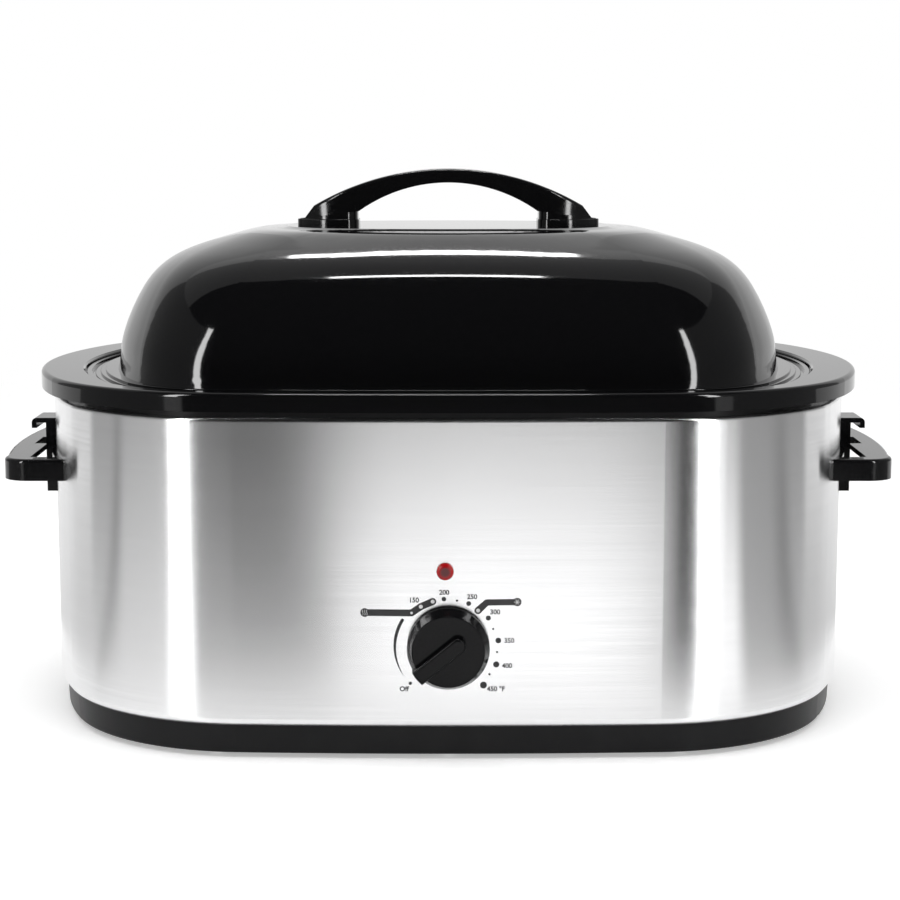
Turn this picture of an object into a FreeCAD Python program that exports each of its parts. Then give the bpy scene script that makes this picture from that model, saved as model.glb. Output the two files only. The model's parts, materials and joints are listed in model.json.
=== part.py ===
import FreeCAD, Part
import math
import os

# An electric roaster oven: brushed steel body, black rim and base, loose domed lid, lift-out pan and rack.
# Millimetres. X to the right, Y to the back, Z up; the origin is the plan centre on the surface it stands on.

Vector = FreeCAD.Vector
X_AXIS = Vector(1, 0, 0)
Y_AXIS = Vector(0, 1, 0)
Z_AXIS = Vector(0, 0, 1)

# Plan outlines: half width, half depth, end arc, corner arc and front arc radii
RIM = (285.0, 200.0, 276.0, 145.0, 2650.0)
MOUTH = (254.5, 188.0, 295.0, 90.0, 2400.0)
WELL = (241.0, 177.5, 300.0, 78.0, 2400.0)
DOME = (232.0, 173.0, 300.0, 70.0, 2380.0)
PAD = (112.0, 72.0, 180.0, 50.0, 300.0)

# Heights above the supporting surface
FOOT_HEIGHT = 3.0
BASE_TOP = 22.1
SHELL_TOP = 221.4
SKIRT_BOTTOM = 226.1
RIM_TOP = 238.2
LEDGE_DROP = 5.5
WELL_FLOOR = 62.0
PAD_TOP = 334.2

# Sheet thicknesses and small gaps
SHEET = 1.0
SHELL_SHEET = 0.8
PLATE_SHEET = 0.8
SEAT_GAP = 0.1
LOOSE_GAP = 0.3
SHAFT_GAP = 0.05
CUT_OVER = 2.0
EDGE_TOLERANCE = 0.01
HEX_SIDES = 6
FULL_TURN = 360

# Rim and skirt
RIM_ROUND = 3.0
HEM_WIDTH = 2.2
HEM_HEIGHT = 2.4
HEM_ROUND = 0.9
MOUTH_ROUND = 1.2

# Well and pan walls
WALL_LEAN = 10.0
WELL_ROUND = 22.0
PAN_GAP = 2.0
PAN_FLOOR_GAP = 5.0
PAN_RIM_GAP = 1.0
PAN_BEAD_WIDTH = 3.6
PAN_BEAD_HEIGHT = 2.2
PAN_BEAD_ROUND = 0.8

# Steel shell
SHELL_INSET = 8.84
SHELL_ROLL_BOTTOM = 5.0
SHELL_ROLL_TOP = 2.6
SHELL_FLANGE = 18.0
WELL_TO_SHELL_GAP = 3.0

# Rim spacer
SPACER_WIDTH = 4.0

# Base ring, plate and feet
BASE_INSET_TOP = 12.4
BASE_INSET_BOTTOM = 13.6
BASE_WALL = 4.0
BASE_FLANGE = 19.0
BASE_FLANGE_SHEET = 2.5
BASE_ROUND = 2.4
BOSS_RADIUS = 5.0
BASE_SCREW_RADIUS = 1.9
BASE_SCREW_HEAD_RADIUS = 3.4
BASE_SCREW_HEAD_HEIGHT = 1.6
BASE_SCREW_X = 150.0
BASE_SCREW_Y = 170.5
BASE_SCREW_MIDDLE_Y = 176.5
FOOT_X = 206.0
FOOT_Y = 136.0
FOOT_RADIUS = 9.0
FOOT_FACE_RADIUS = 8.0
FOOT_STEM_RADIUS = 3.0
FOOT_HEAD_RADIUS = 4.4
FOOT_HEAD_HEIGHT = 3.0
VENT_LENGTH = 60.0
VENT_WIDTH = 4.0
VENT_PITCH = 14.0
VENT_COUNT = 5
VENT_CENTRES_X = (-110.0, 110.0)

# Centre stud, spacer tube and heat shield
STUD_RADIUS = 3.0
STUD_NUT_RADIUS = 6.4
STUD_NUT_HEIGHT = 4.0
SHIELD_Z = 48.0
SHIELD_INSET = 16.0
SHIELD_LIP = 9.0
SPACER_TUBE_RADIUS = 6.0

# Heating band and insulation
BAND_BOTTOM = 100.0
BAND_TOP = 140.0
BAND_SHEET = 2.0
TAB_X = (54.0, 66.0)
TAB_WIDTH = 5.0
TAB_DROP = 12.0
BLANKET_BOTTOM = 95.0
BLANKET_TOP = 205.0
BLANKET_SHEET = 8.0
WINDOW_HALF = 13.0
WINDOW_TOP = 143.0

# Control panel: knob, thermostat and indicator
CONTROL_Z = 75.0
LAMP_Z = 124.0
LAMP_X = -2.0
THERMOSTAT_HALF = 17.0
THERMOSTAT_DEPTH = 17.0
BUSH_RADIUS = 4.6
BUSH_REACH = 5.0
BUSH_NUT_RADIUS = 7.0
BUSH_NUT_HEIGHT = 2.5
SHAFT_RADIUS = 3.0
SHAFT_REACH = 16.0
SHAFT_FLAT = 1.6
KNOB_RADIUS = 26.3
KNOB_GAP = 1.2
KNOB_SKIRT = 4.5
KNOB_FACE_RADIUS = 23.0
KNOB_FACE_DEPTH = 12.5
KNOB_RIM_ROUND = 0.8
KNOB_GRIP_DEPTH = 19.5
KNOB_GRIP_WIDTH = 10.2
KNOB_GRIP_TAIL = 12.8
KNOB_GRIP_NOSE = 42.0
KNOB_GRIP_INSET = 0.5
KNOB_GRIP_ROUND = 1.6
KNOB_POCKET_RADIUS = 9.0
KNOB_POCKET_DEPTH = 5.5
KNOB_CLIP_SHEET = 0.6
OFF_ANGLE = 231.0
LENS_RADIUS = 5.5
LENS_REACH = 3.2
LENS_ROUND = 2.4
LAMP_SINK = 1.0
LENS_BODY_RADIUS = 4.3
LENS_BODY_DEPTH = 6.0
LAMP_RADIUS = 2.6
LAMP_DEPTH = 12.0
CLIP_RADIUS = 7.5
CLIP_SHEET = 0.8
LAMP_LEAD_RADIUS = 0.8
LAMP_LEAD_HALF_GAP = 1.5

# Sensing bulb, thermal fuse and wiring
BULB_RADIUS = 2.5
BULB_LENGTH = 70.0
BULB_START_X = 45.0
BULB_Z = 87.0
CAPILLARY_RADIUS = 0.9
CAPILLARY_BEND = 4.0
CLIP_WIDTH = 8.0
CLIP_WALL = 1.8
FUSE_RADIUS = 2.2
FUSE_LENGTH = 16.0
FUSE_X = 60.0
BLOCK_X = 54.0
BLOCK_Y = 130.0
BLOCK_WIDTH = 44.0
BLOCK_DEPTH = 20.0
BLOCK_HEIGHT = 18.0
BLOCK_SLOT = 1.0
LEAD_RADIUS = 1.3
LEAD_BEND = 8.0
HEATER_LEAD_LEVEL = 40.0
CONTROL_LEAD_LEVEL = 15.0
CONTROL_LEAD_START = 11.0
CONTROL_LEAD_NOTCH = 2.5
CONTROL_LEAD_SETBACK = 4.25
CONTROL_LEAD_SLANT = 70.0
CONTROL_LEAD_ENDS = (54.0, 42.0)
GLAND_X = 54.0
GLAND_Z = 40.0
GLAND_FLANGE_RADIUS = 10.0
GLAND_FLANGE = 3.0
GLAND_RADIUS = 7.0
GLAND_BORE_RADIUS = 3.8
GLAND_WALL = 1.4
GLAND_NUT_RADIUS = 10.5
GLAND_NUT = 4.0

# Side handles
SIDE_TOP = 180.6
SIDE_HEIGHT = 14.6
SIDE_REACH = 306.5
SIDE_SHOULDER_X = 301.5
SIDE_SHOULDER_Y = 70.0
SIDE_KNEE_X = 5.2
SIDE_KNEE_Y = 4.6
SIDE_INNER_X = 284.0
SIDE_HALF_LENGTH = 93.0
SIDE_ARM = 12.0
SIDE_SHELF = 3.6
SIDE_SKIRT = 3.6
SIDE_ROUND = 2.4
SIDE_PLATE = 3.0
BLOCK_FACE_X = 285.0
BLOCK_HALF = 15.0
BLOCK_BOTTOM = 146.3
HOOK_TOP = 198.6
HOOK_SHEET = 3.4
HOOK_REACH = 295.0
HOOK_TIP_DROP = 7.2
NOTCH_HALF = 16.5
NOTCH_X = 293.0
SIDE_SCREW_HEIGHTS = (156.0, 188.0)
SIDE_SCREW_RADIUS = 2.0
SIDE_SCREW_LENGTH = 8.0
SIDE_SCREW_HEAD_RADIUS = 3.8
SIDE_SCREW_HEAD_HEIGHT = 2.4

# Lid: dome profile as shares of the way in to the pad and up to it, from the silhouette
DOME_SHEET = 1.2
DOME_RISE = ((0.0, 0.0), (0.024, 0.17), (0.062, 0.34), (0.123, 0.505), (0.205, 0.66), (0.3075, 0.77),
             (0.458, 0.857), (0.65, 0.93), (0.85, 0.983), (1.0, 1.0))
LID_EDGE_GAP = 7.0
LID_STEPS = 3
LID_STEP = 3.5
LID_STEP_RISE = 1.3
LID_LIP_DROP = 5.0
LID_STEP_ROUND = 0.5

# Lid handle: outer and inner arch, plan shape and foot collars
ARCH_TOP = 373.4
ARCH_RADIUS = 186.0
ARCH_UNDER_TOP = 363.9
ARCH_UNDER_RADIUS = 108.3
HANDLE_TOE_X = 104.5
HANDLE_TOE_SLOPE = 10.5
HANDLE_TOE_ROUND = 4.0
HANDLE_TOE_HALF_WIDTH = 5.8
HANDLE_BOW_HALF_WIDTH = 13.4
HANDLE_HEEL_X = 64.5
HANDLE_HALF_WIDTH = 13.0
HANDLE_FOOT_HALF_WIDTH = 16.0
HANDLE_ROUND = 2.2
COLLAR_TIP_X = 106.0
COLLAR_HEEL_X = 62.5
COLLAR_HALF_WIDTH = 20.0
COLLAR_BASE = 4.4
COLLAR_HEEL_RISE = 5.6
COLLAR_TOP_INSET = 1.6
COLLAR_ROUND = 0.8
DROP_BOW_ALONG = 0.62
DROP_BOW_WIDTH = 0.86
DROP_NOSE_BACK = 0.1575
DROP_NOSE_WIDTH = 0.3375
LID_SCREW_X = 80.0
LID_SCREW_RADIUS = 2.5
LID_SCREW_REACH = 14.0
LID_SCREW_HEAD_RADIUS = 4.6
LID_SCREW_HEAD_HEIGHT = 2.8
LID_WASHER_RADIUS = 6.5
LID_WASHER_SHEET = 1.0

# Rack
RACK_INSET = 34.0
RACK_FRAME_RADIUS = 2.5
RACK_WIRE_RADIUS = 1.5
RACK_HEIGHT = 14.0
RACK_WIRES = 11
RACK_LOOP_HALF = 45.0
RACK_LOOP_TOP = 185.0
RACK_LOOP_BEND = 14.0
RACK_LOOP_RADIUS = 1.8

# Levels that follow from the sizes above
BASE_BOTTOM = FOOT_HEIGHT
LEDGE = RIM_TOP - LEDGE_DROP
PAN_FLOOR = WELL_FLOOR + SHEET + PAN_FLOOR_GAP
FLANGE_TOP = BASE_BOTTOM + BASE_FLANGE_SHEET
PLATE_TOP = FLANGE_TOP + PLATE_SHEET
SHELL_FRONT = -(RIM[1] - SHELL_INSET)
SHELL_SIDE = RIM[0] - SHELL_INSET
BLOCK_TOP = PLATE_TOP + BLOCK_HEIGHT
BASE_SCREW_BACK = ((-BASE_SCREW_X, BASE_SCREW_Y), (0.0, BASE_SCREW_MIDDLE_Y), (BASE_SCREW_X, BASE_SCREW_Y))
BASE_SCREW_SPOTS = BASE_SCREW_BACK + tuple((x, -y) for x, y in BASE_SCREW_BACK)


def corner_centre(plan):
    """Centre of the corner arc that touches the end arc and the front arc from inside."""
    half_w, half_d, end_r, corner_r, front_r = plan
    ax = half_w - end_r
    by = half_d - front_r
    ra = end_r - corner_r
    rb = front_r - corner_r
    gap = math.hypot(ax, by)
    along = (ra * ra - rb * rb + gap * gap) / (2 * gap)
    off = math.sqrt(ra * ra - along * along)
    ux = -ax / gap
    uy = by / gap
    return ax + along * ux - off * uy, along * uy + off * ux


def quarter(plan, inset):
    """End point, first corner end, corner middle, second corner end and front point."""
    half_w, half_d, end_r, corner_r, front_r = plan
    cx, cy = corner_centre(plan)
    first = math.atan2(cy, cx - (half_w - end_r))
    second = math.atan2(cy - (half_d - front_r), cx)
    middle = (first + second) / 2
    radius = corner_r - inset
    spots = [(cx + radius * math.cos(a), cy + radius * math.sin(a)) for a in (first, middle, second)]
    return [(half_w - inset, 0.0)] + spots + [(0.0, half_d - inset)]


def outline(plan, inset, z):
    """Closed wire of eight tangent arcs at height z, drawn in by inset."""
    east, first, middle, second, north = quarter(plan, inset)
    right_back = [east, first, middle, second, north]
    left_back = [(-x, y) for x, y in reversed(right_back[:-1])]
    back = right_back[1:] + left_back
    front = [(-x, -y) for x, y in back]
    ring = [Vector(x, y, z) for x, y in [(first[0], -first[1]), east] + back + front[:6]]
    arcs = [Part.Arc(ring[i], ring[i + 1], ring[(i + 2) % 16]).toShape() for i in range(0, 16, 2)]
    return Part.Wire(arcs)


def prism(plan, inset, low, high):
    return Part.Face(outline(plan, inset, low)).extrude(Vector(0, 0, high - low))


def taper(plan, inset_low, low, inset_high, high):
    return Part.makeLoft([outline(plan, inset_low, low), outline(plan, inset_high, high)], True, True)


def level_edges(shape, z):
    """Edges that lie flat at height z."""
    boxes = [(edge, edge.BoundBox) for edge in shape.Edges]
    return [edge for edge, box in boxes
            if abs(box.ZMin - z) < EDGE_TOLERANCE and abs(box.ZMax - z) < EDGE_TOLERANCE]


def round_level(shape, radius, z):
    return shape.makeFillet(radius, level_edges(shape, z))


def box(x0, x1, y0, y1, z0, z1):
    return Part.makeBox(x1 - x0, y1 - y0, z1 - z0, Vector(x0, y0, z0))


def cylinder(radius, start, direction, length):
    return Part.makeCylinder(radius, length, start, direction)


def one(shape):
    """The shape with seams merged, as a bare solid where there is only one."""
    clean = shape.removeSplitter()
    if len(clean.Solids) == 1:
        return clean.Solids[0]
    return Part.makeCompound(clean.Solids)


def mirrored_x(shape):
    return shape.mirror(Vector(0, 0, 0), X_AXIS)


def bent_tube(points, radius, bend):
    """Round tube along straight runs joined by tangent arcs."""
    spots = [Vector(*p) for p in points]
    edges = []
    start = spots[0]
    for i in range(1, len(spots) - 1):
        back = (spots[i - 1] - spots[i]).normalize()
        ahead = (spots[i + 1] - spots[i]).normalize()
        half = math.acos(max(-1.0, min(1.0, back.dot(ahead)))) / 2
        reach = bend / math.tan(half)
        enter = spots[i] + back * reach
        leave = spots[i] + ahead * reach
        middle_way = (back + ahead).normalize()
        middle = spots[i] + middle_way * (bend / math.sin(half) - bend)
        edges.append(Part.LineSegment(start, enter).toShape())
        edges.append(Part.Arc(enter, middle, leave).toShape())
        start = leave
    edges.append(Part.LineSegment(start, spots[-1]).toShape())
    path = Part.Wire(edges)
    ring = Part.Wire(Part.Circle(spots[0], spots[1] - spots[0], radius).toShape())
    return path.makePipeShell([ring], True, False)


def wall_inset(z):
    """Inset of the well's inner wall at height z."""
    return WALL_LEAN * (LEDGE - z) / (LEDGE - WELL_FLOOR)


def basin(plan, inset, floor, top, round_r):
    """Tapered bowl-shaped solid with a rounded bottom edge."""
    body = taper(plan, inset + WALL_LEAN, floor, inset, top)
    return round_level(body, round_r, floor)


def shell_outer():
    body = prism(RIM, SHELL_INSET, BASE_TOP, SHELL_TOP)
    body = round_level(body, SHELL_ROLL_BOTTOM, BASE_TOP)
    return round_level(body, SHELL_ROLL_TOP, SHELL_TOP)


def make_cooking_well():
    flange = round_level(prism(RIM, 0.0, SKIRT_BOTTOM, RIM_TOP), RIM_ROUND, RIM_TOP)
    hollow = prism(RIM, SHEET, SKIRT_BOTTOM, RIM_TOP - SHEET)
    flange = flange.cut(round_level(hollow, RIM_ROUND - SHEET, RIM_TOP - SHEET))
    hem = prism(RIM, 0.0, SKIRT_BOTTOM, SKIRT_BOTTOM + HEM_HEIGHT).cut(
        prism(RIM, HEM_WIDTH, SKIRT_BOTTOM, SKIRT_BOTTOM + HEM_HEIGHT))
    hem = round_level(hem, HEM_ROUND, SKIRT_BOTTOM)
    flange = flange.fuse(hem)
    flange = flange.fuse(prism(MOUTH, -SHEET, LEDGE - SHEET, RIM_TOP - SHEET / 2))
    flange = flange.fuse(basin(WELL, -SHEET, WELL_FLOOR, LEDGE - SHEET / 2, WELL_ROUND))
    mouth = prism(MOUTH, 0.0, LEDGE, RIM_TOP)
    lead_in = taper(MOUTH, 0.0, RIM_TOP - MOUTH_ROUND, -MOUTH_ROUND, RIM_TOP)
    inside = basin(WELL, 0.0, WELL_FLOOR + SHEET, LEDGE, WELL_ROUND - SHEET)
    return one(flange.cut(mouth).cut(lead_in).cut(inside))


def make_body_shell():
    inner = prism(RIM, SHELL_INSET + SHELL_SHEET, BASE_TOP + SHELL_SHEET, SHELL_TOP - SHELL_SHEET)
    inner = round_level(inner, SHELL_ROLL_BOTTOM - SHELL_SHEET, BASE_TOP + SHELL_SHEET)
    inner = round_level(inner, SHELL_ROLL_TOP - SHELL_SHEET, SHELL_TOP - SHELL_SHEET)
    shell = shell_outer().cut(inner)
    shell = shell.cut(prism(RIM, SHELL_INSET + SHELL_FLANGE, BASE_TOP, BASE_TOP + SHELL_SHEET))
    shell = shell.cut(prism(WELL, -WELL_TO_SHELL_GAP, SHELL_TOP - SHELL_SHEET, SHELL_TOP))
    deep = SHELL_ROLL_BOTTOM
    front = Vector(0, SHELL_FRONT - deep, CONTROL_Z)
    shell = shell.cut(cylinder(BUSH_RADIUS + SHAFT_GAP, front, Y_AXIS, 2 * deep))
    lamp = Vector(LAMP_X, SHELL_FRONT - deep, LAMP_Z)
    shell = shell.cut(cylinder(LENS_BODY_RADIUS + SHAFT_GAP, lamp, Y_AXIS, 2 * deep))
    gland = Vector(GLAND_X, -SHELL_FRONT - deep, GLAND_Z)
    shell = shell.cut(cylinder(GLAND_RADIUS + SHAFT_GAP, gland, Y_AXIS, 2 * deep))
    for height in SIDE_SCREW_HEIGHTS:
        start = Vector(-SHELL_SIDE - deep, 0, height)
        shell = shell.cut(cylinder(SIDE_SCREW_RADIUS + SHAFT_GAP, start, X_AXIS, 2 * (SHELL_SIDE + deep)))
    for x, y in BASE_SCREW_SPOTS:
        hole = cylinder(BASE_SCREW_RADIUS + SHAFT_GAP, Vector(x, y, BASE_TOP), Z_AXIS, SHELL_SHEET)
        shell = shell.cut(hole)
    for x in (-CONTROL_LEAD_START, CONTROL_LEAD_START):
        near = control_lead_y() - CONTROL_LEAD_NOTCH
        far = near + SHELL_FLANGE
        sides = (x - CONTROL_LEAD_NOTCH, x + CONTROL_LEAD_NOTCH)
        shell = shell.cut(box(*sides, near, far, BASE_TOP, BASE_TOP + SHELL_SHEET))
    return one(shell)


def control_lead_y():
    return panel_back() + THERMOSTAT_DEPTH - CONTROL_LEAD_SETBACK


def make_rim_spacer():
    ring = prism(MOUTH, -SHEET, SHELL_TOP, LEDGE - SHEET)
    return one(ring.cut(prism(MOUTH, SPACER_WIDTH - SHEET, SHELL_TOP, LEDGE - SHEET)))


def make_base_ring():
    ring = taper(RIM, BASE_INSET_BOTTOM, BASE_BOTTOM, BASE_INSET_TOP, BASE_TOP)
    ring = round_level(ring, BASE_ROUND, BASE_BOTTOM)
    ring = ring.cut(prism(RIM, BASE_INSET_BOTTOM + BASE_WALL, FLANGE_TOP, BASE_TOP))
    ring = ring.cut(prism(RIM, BASE_INSET_BOTTOM + BASE_WALL + BASE_FLANGE, BASE_BOTTOM, BASE_TOP))
    for x, y in BASE_SCREW_SPOTS:
        ring = ring.fuse(cylinder(BOSS_RADIUS, Vector(x, y, BASE_BOTTOM), Z_AXIS, BASE_TOP - BASE_BOTTOM))
    for x, y in BASE_SCREW_SPOTS:
        bottom = Vector(x, y, BASE_BOTTOM)
        ring = ring.cut(cylinder(BASE_SCREW_RADIUS + SHAFT_GAP, bottom, Z_AXIS, BASE_TOP - BASE_BOTTOM))
        ring = ring.cut(cylinder(BASE_SCREW_HEAD_RADIUS + SEAT_GAP, bottom, Z_AXIS, BASE_SCREW_HEAD_HEIGHT))
    for x, y in foot_spots():
        ring = ring.cut(cylinder(FOOT_STEM_RADIUS + SHAFT_GAP, Vector(x, y, BASE_BOTTOM), Z_AXIS, FLANGE_TOP))
    return one(ring)


def make_base_screws():
    screws = []
    for x, y in BASE_SCREW_SPOTS:
        bottom = Vector(x, y, BASE_BOTTOM)
        head = cylinder(BASE_SCREW_HEAD_RADIUS, bottom, Z_AXIS, BASE_SCREW_HEAD_HEIGHT)
        shank = cylinder(BASE_SCREW_RADIUS, bottom, Z_AXIS, BASE_TOP + SHELL_SHEET + CUT_OVER - BASE_BOTTOM)
        screws.append(one(head.fuse(shank)))
    return Part.makeCompound(screws)


def foot_spots():
    return [(x, y) for y in (-FOOT_Y, FOOT_Y) for x in (-FOOT_X, FOOT_X)]


def make_base_plate():
    plate = prism(RIM, BASE_INSET_BOTTOM + BASE_WALL + LOOSE_GAP, FLANGE_TOP, PLATE_TOP)
    for x, y in BASE_SCREW_SPOTS:
        plate = plate.cut(cylinder(BOSS_RADIUS + LOOSE_GAP, Vector(x, y, FLANGE_TOP), Z_AXIS, PLATE_SHEET))
    for x, y in foot_spots():
        hole = cylinder(FOOT_STEM_RADIUS + SHAFT_GAP, Vector(x, y, FLANGE_TOP), Z_AXIS, PLATE_SHEET)
        plate = plate.cut(hole)
    plate = plate.cut(cylinder(STUD_RADIUS + SHAFT_GAP, Vector(0, 0, FLANGE_TOP), Z_AXIS, PLATE_SHEET))
    for centre in VENT_CENTRES_X:
        for i in range(VENT_COUNT):
            y = (i - (VENT_COUNT - 1) / 2) * VENT_PITCH
            half = VENT_LENGTH / 2
            low = y - VENT_WIDTH / 2
            slot = box(centre - half, centre + half, low, low + VENT_WIDTH, FLANGE_TOP, PLATE_TOP)
            plate = plate.cut(slot)
    return one(plate)


def make_foot(x, y):
    pad = Part.makeCone(FOOT_FACE_RADIUS, FOOT_RADIUS, FOOT_HEIGHT, Vector(x, y, 0), Z_AXIS)
    stem = cylinder(FOOT_STEM_RADIUS, Vector(x, y, 0), Z_AXIS, PLATE_TOP)
    head = Part.makeCone(FOOT_HEAD_RADIUS, FOOT_STEM_RADIUS, FOOT_HEAD_HEIGHT, Vector(x, y, PLATE_TOP), Z_AXIS)
    return one(pad.fuse(stem).fuse(head))


def hexagon(radius):
    """Corners of a closed hexagon."""
    turn = math.tau / HEX_SIDES
    return [(radius * math.cos(turn * i), radius * math.sin(turn * i)) for i in range(HEX_SIDES + 1)]


def make_centre_stud():
    return cylinder(STUD_RADIUS, Vector(0, 0, FOOT_HEIGHT / 2), Z_AXIS, WELL_FLOOR - FOOT_HEIGHT / 2)


def make_stud_nut():
    corners = [Vector(x, y, FLANGE_TOP) for x, y in hexagon(STUD_NUT_RADIUS)]
    nut = Part.Face(Part.makePolygon(corners)).extrude(Vector(0, 0, -min(STUD_NUT_HEIGHT, FLANGE_TOP / 2)))
    return one(nut.cut(cylinder(STUD_RADIUS + SHAFT_GAP, Vector(0, 0, 0), Z_AXIS, FLANGE_TOP)))


def make_stud_spacer():
    tube = cylinder(SPACER_TUBE_RADIUS, Vector(0, 0, PLATE_TOP), Z_AXIS, SHIELD_Z - PLATE_TOP)
    return one(tube.cut(cylinder(STUD_RADIUS + SHAFT_GAP, Vector(0, 0, PLATE_TOP), Z_AXIS, SHIELD_Z)))


def make_heat_shield():
    tray = prism(WELL, SHIELD_INSET, SHIELD_Z, SHIELD_Z + SHIELD_LIP)
    tray = tray.cut(prism(WELL, SHIELD_INSET + PLATE_SHEET, SHIELD_Z + PLATE_SHEET, SHIELD_Z + SHIELD_LIP))
    return one(tray.cut(cylinder(STUD_RADIUS + SHAFT_GAP, Vector(0, 0, SHIELD_Z), Z_AXIS, SHIELD_LIP)))


def wall_layer(low, high, near, far):
    """Tapered layer that wraps the well, from near to far outside its outer face."""
    outer = taper(WELL, wall_inset(low) - SHEET - far, low, wall_inset(high) - SHEET - far, high)
    inner = taper(WELL, wall_inset(low) - SHEET - near, low, wall_inset(high) - SHEET - near, high)
    return outer.cut(inner)


def front_arc_y(plan, inset, x):
    """Distance of the back or front arc from the X axis at x."""
    radius = plan[4] - inset
    return plan[1] - plan[4] + math.sqrt(radius * radius - x * x)


def tab_y(x):
    """Middle of the heating band's thickness at its lower edge, at the back."""
    inset = wall_inset(BAND_BOTTOM) - SHEET - SEAT_GAP - BAND_SHEET / 2
    return front_arc_y(WELL, inset, x)


def make_heating_band():
    band = wall_layer(BAND_BOTTOM, BAND_TOP, SEAT_GAP, SEAT_GAP + BAND_SHEET)
    half = TAB_WIDTH / 2
    thick = BAND_SHEET / 3
    for x in TAB_X:
        y = tab_y(x)
        low = BAND_BOTTOM - TAB_DROP
        band = band.fuse(box(x - half, x + half, y - thick, y + thick, low, BAND_BOTTOM + thick))
    return one(band)


def make_insulation():
    near = SEAT_GAP + BAND_SHEET + SEAT_GAP
    layer = wall_layer(BLANKET_BOTTOM, BLANKET_TOP, near, near + BLANKET_SHEET)
    window = box(LAMP_X - WINDOW_HALF, LAMP_X + WINDOW_HALF, SHELL_FRONT, 0, BLANKET_BOTTOM, WINDOW_TOP)
    return one(layer.cut(window))


def panel_back():
    return SHELL_FRONT + SHELL_SHEET


def make_thermostat():
    y0 = panel_back() + SEAT_GAP
    half = THERMOSTAT_HALF
    body = box(-half, half, y0, y0 + THERMOSTAT_DEPTH, CONTROL_Z - half, CONTROL_Z + half)
    nose = Vector(0, SHELL_FRONT - BUSH_REACH, CONTROL_Z)
    body = body.fuse(cylinder(BUSH_RADIUS, nose, Y_AXIS, y0 + SHEET - nose.y))
    bore = cylinder(SHAFT_RADIUS + SHAFT_GAP, nose, Y_AXIS, BUSH_REACH + THERMOSTAT_DEPTH / 2)
    return one(body.cut(bore))


def make_bush_nut():
    corners = [Vector(x, SHELL_FRONT, CONTROL_Z + z) for x, z in hexagon(BUSH_NUT_RADIUS)]
    nut = Part.Face(Part.makePolygon(corners)).extrude(Vector(0, -BUSH_NUT_HEIGHT, 0))
    start = Vector(0, SHELL_FRONT - BUSH_NUT_HEIGHT, CONTROL_Z)
    return one(nut.cut(cylinder(BUSH_RADIUS + SHAFT_GAP, start, Y_AXIS, BUSH_NUT_HEIGHT)))


def make_shaft():
    start = Vector(0, SHELL_FRONT - SHAFT_REACH, CONTROL_Z)
    shaft = cylinder(SHAFT_RADIUS, start, Y_AXIS, SHAFT_REACH + THERMOSTAT_DEPTH / 2 - LOOSE_GAP)
    flat = box(-SHAFT_RADIUS, SHAFT_RADIUS, start.y, SHELL_FRONT - BUSH_REACH - LOOSE_GAP,
               SHAFT_FLAT, SHAFT_RADIUS + CUT_OVER)
    flat.translate(Vector(0, 0, CONTROL_Z))
    shaft = shaft.cut(flat)
    shaft.rotate(Vector(0, 0, CONTROL_Z), Y_AXIS, OFF_ANGLE)
    return one(shaft)


def make_knob():
    back = SHELL_FRONT - KNOB_GAP
    profile = [Vector(0, back, 0), Vector(KNOB_RADIUS, back, 0), Vector(KNOB_RADIUS, back - KNOB_SKIRT, 0),
               Vector(KNOB_FACE_RADIUS, back - KNOB_FACE_DEPTH, 0), Vector(0, back - KNOB_FACE_DEPTH, 0)]
    disc = Part.Face(Part.makePolygon(profile + profile[:1])).revolve(Vector(0, 0, 0), Y_AXIS, FULL_TURN)
    disc = disc.makeFillet(KNOB_RIM_ROUND, [e for e in disc.Edges if e.BoundBox.YLength < EDGE_TOLERANCE
                                            and e.BoundBox.YMin < back - EDGE_TOLERANCE])
    half = KNOB_GRIP_WIDTH / 2
    grip = box(-half, half, back - KNOB_GRIP_DEPTH, back - KNOB_FACE_DEPTH / 2, 0, KNOB_GRIP_NOSE)
    tail = Vector(0, back - KNOB_GRIP_DEPTH, 0)
    grip = grip.fuse(cylinder(half, tail, Y_AXIS, KNOB_GRIP_DEPTH - KNOB_FACE_DEPTH / 2))
    grip.translate(Vector(0, 0, half - KNOB_GRIP_TAIL))
    turned = cylinder(KNOB_RADIUS - KNOB_GRIP_INSET, tail, Y_AXIS, KNOB_GRIP_DEPTH)
    grip = grip.removeSplitter().common(turned)
    grip = grip.makeFillet(KNOB_GRIP_ROUND, [e for e in grip.Edges if e.BoundBox.YLength < EDGE_TOLERANCE
                                             and e.BoundBox.YMin < back - KNOB_FACE_DEPTH])
    knob = disc.fuse(grip)
    pocket = Vector(0, back - KNOB_POCKET_DEPTH, 0)
    knob = knob.cut(cylinder(KNOB_POCKET_RADIUS, pocket, Y_AXIS, KNOB_POCKET_DEPTH))
    clip_radius = SHAFT_RADIUS + SHAFT_GAP + KNOB_CLIP_SHEET + SHAFT_GAP
    reach = SHAFT_REACH + LOOSE_GAP
    knob = knob.cut(cylinder(clip_radius, Vector(0, SHELL_FRONT - reach, 0), Y_AXIS, reach))
    knob.translate(Vector(0, 0, CONTROL_Z))
    knob.rotate(Vector(0, 0, CONTROL_Z), Y_AXIS, OFF_ANGLE)
    return one(knob)


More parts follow.
